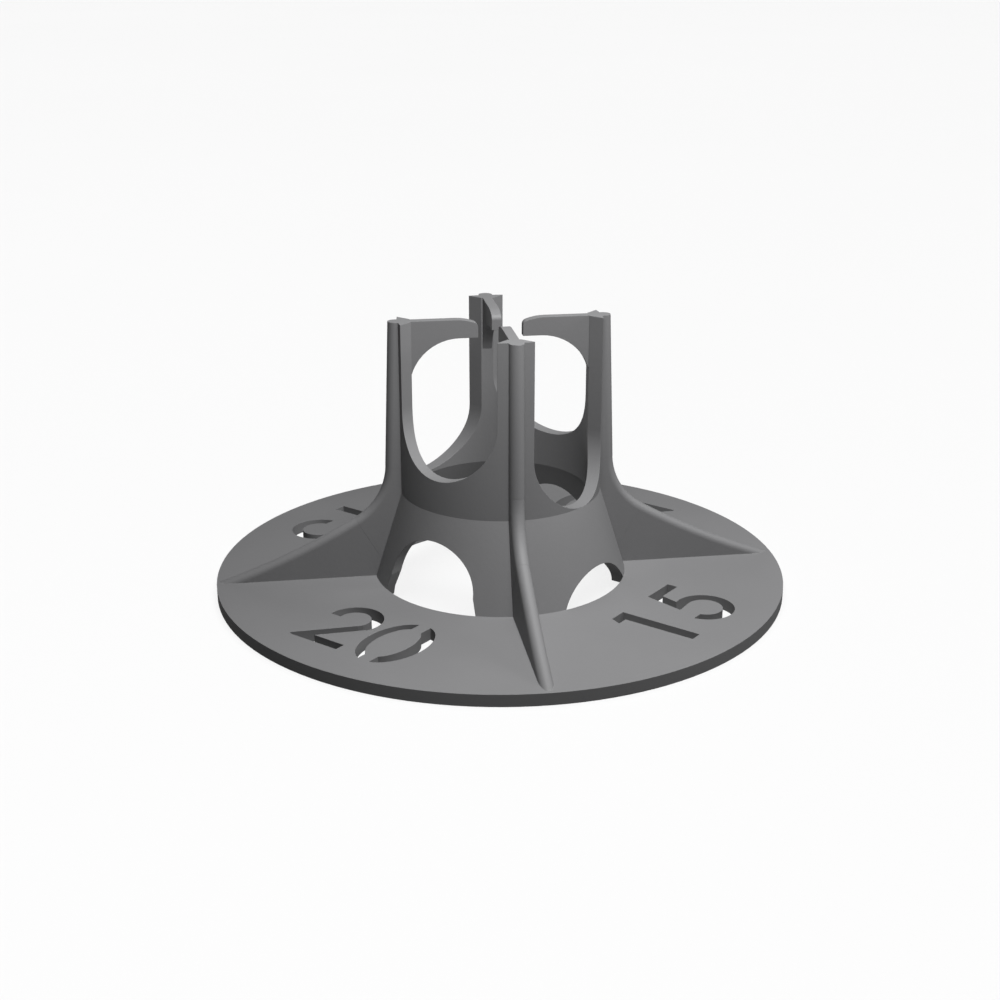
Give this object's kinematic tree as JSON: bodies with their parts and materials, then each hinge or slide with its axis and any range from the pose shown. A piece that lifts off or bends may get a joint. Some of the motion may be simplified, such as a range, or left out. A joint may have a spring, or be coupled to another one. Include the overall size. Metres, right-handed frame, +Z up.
{
  "type": "rebar chair",
  "caption": "One-piece moulded plastic rebar chair: a round plate with cut-through cover figures, a ribbed cone and tube, and two crossing pairs of U-shaped bar seats under thin spring arms.",
  "frame": {"origin": "centre of the round plate's flat underside, where it stands on the form", "axes": "+Z up along the tube's axis; +X along a bar in the lower seats, over the figures 15; +Y along a bar in the higher seats, over the figures 20"},
  "size_m": [0.087, 0.087, 0.0413],
  "materials": {
    "plastic": "satin moulded grey plastic"
  },
  "bodies": {
    "root": {"chair": "plastic"}
  },
  "joints": []
}
